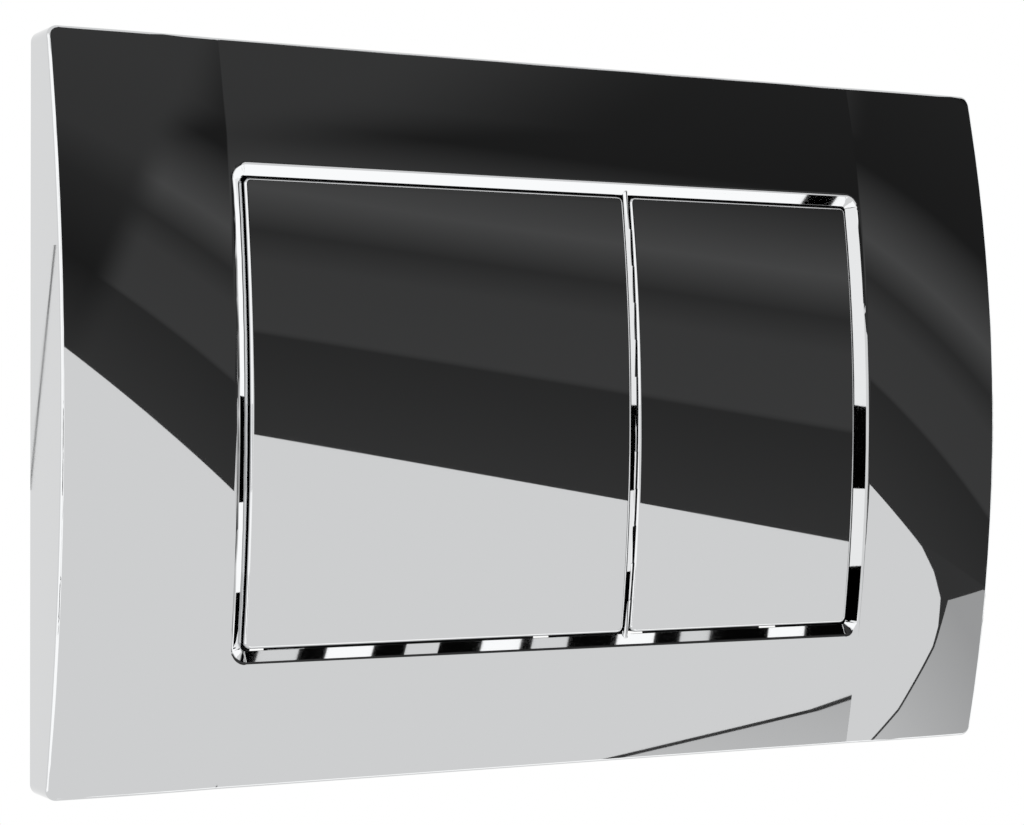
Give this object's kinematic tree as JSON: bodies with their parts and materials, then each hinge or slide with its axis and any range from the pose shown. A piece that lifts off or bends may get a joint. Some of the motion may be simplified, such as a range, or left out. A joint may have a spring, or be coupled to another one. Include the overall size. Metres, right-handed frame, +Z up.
{
  "type": "flush button plate",
  "caption": "Chromed dual-flush button plate for a concealed cistern: arched shell with a wide and a narrow rocker button, push rods and a wall frame.",
  "frame": {"origin": "middle of the plate's width and height, on the wall plane that the plate's back rim rests on", "axes": "+Z up, +X to the right seen from the front, +Y into the wall; the front faces -Y"},
  "size_m": [0.247, 0.0766, 0.165],
  "materials": {
    "chromed_plate": "polished",
    "chromed_button": "polished",
    "carrier_plastic": "matte",
    "frame_plastic": "satin",
    "guide_plastic": "satin",
    "rod_plastic": "satin",
    "head_plastic": "satin",
    "stainless_steel": "satin",
    "spring_steel": "satin",
    "zinc_steel": "satin",
    "bumper_rubber": "matte"
  },
  "bodies": {
    "plate": {"front_plate": "chromed_plate", "button_carrier": "carrier_plastic", "carrier_screws": "zinc_steel", "mounting_frame": "frame_plastic", "fixing_bolt_left": "zinc_steel", "fixing_washer_left": "zinc_steel", "fixing_bolt_right": "zinc_steel", "fixing_washer_right": "zinc_steel", "full_flush_hinge_rod": "stainless_steel", "full_flush_rod_guide": "guide_plastic", "full_flush_spring_left": "spring_steel", "full_flush_bumper_left": "bumper_rubber", "full_flush_spring_right": "spring_steel", "full_flush_bumper_right": "bumper_rubber", "half_flush_hinge_rod": "stainless_steel", "half_flush_rod_guide": "guide_plastic", "half_flush_spring_left": "spring_steel", "half_flush_bumper_left": "bumper_rubber", "half_flush_spring_right": "spring_steel", "half_flush_bumper_right": "bumper_rubber"},
    "full_flush_button": {"full_flush_button": "chromed_button"},
    "full_flush_rod": {"full_flush_push_rod": "rod_plastic", "full_flush_rod_head": "head_plastic", "full_flush_lock_nut": "head_plastic"},
    "half_flush_button": {"half_flush_button": "chromed_button"},
    "half_flush_rod": {"half_flush_push_rod": "rod_plastic", "half_flush_rod_head": "head_plastic", "half_flush_lock_nut": "head_plastic"}
  },
  "joints": [
    {"name": "full_flush_press", "type": "hinge", "parent": "plate", "child": "full_flush_button", "pos_m": [-0.03222, -0.01146, 0.042], "axis": [1, 0, 0], "range_deg": [0, 4.2], "stiffness_Nm_per_rad": 8, "springref_deg": -2.29, "deforming": ["full_flush_spring_left", "full_flush_spring_right"]},
    {"name": "full_flush_rod_slide", "type": "slide", "parent": "plate", "child": "full_flush_rod", "axis": [0, 1, 0], "range_m": [0, 0.0055]},
    {"name": "half_flush_press", "type": "hinge", "parent": "plate", "child": "half_flush_button", "pos_m": [0.04922, -0.01146, 0.042], "axis": [1, 0, 0], "range_deg": [0, 4.2], "stiffness_Nm_per_rad": 7, "springref_deg": -2.29, "deforming": ["half_flush_spring_left", "half_flush_spring_right"]},
    {"name": "half_flush_rod_slide", "type": "slide", "parent": "plate", "child": "half_flush_rod", "axis": [0, 1, 0], "range_m": [0, 0.0055]}
  ],
  "couplings": [
    {"joint": "full_flush_rod_slide", "follows": "full_flush_press", "m_per_rad": 0.075},
    {"joint": "half_flush_rod_slide", "follows": "half_flush_press", "m_per_rad": 0.075}
  ]
}
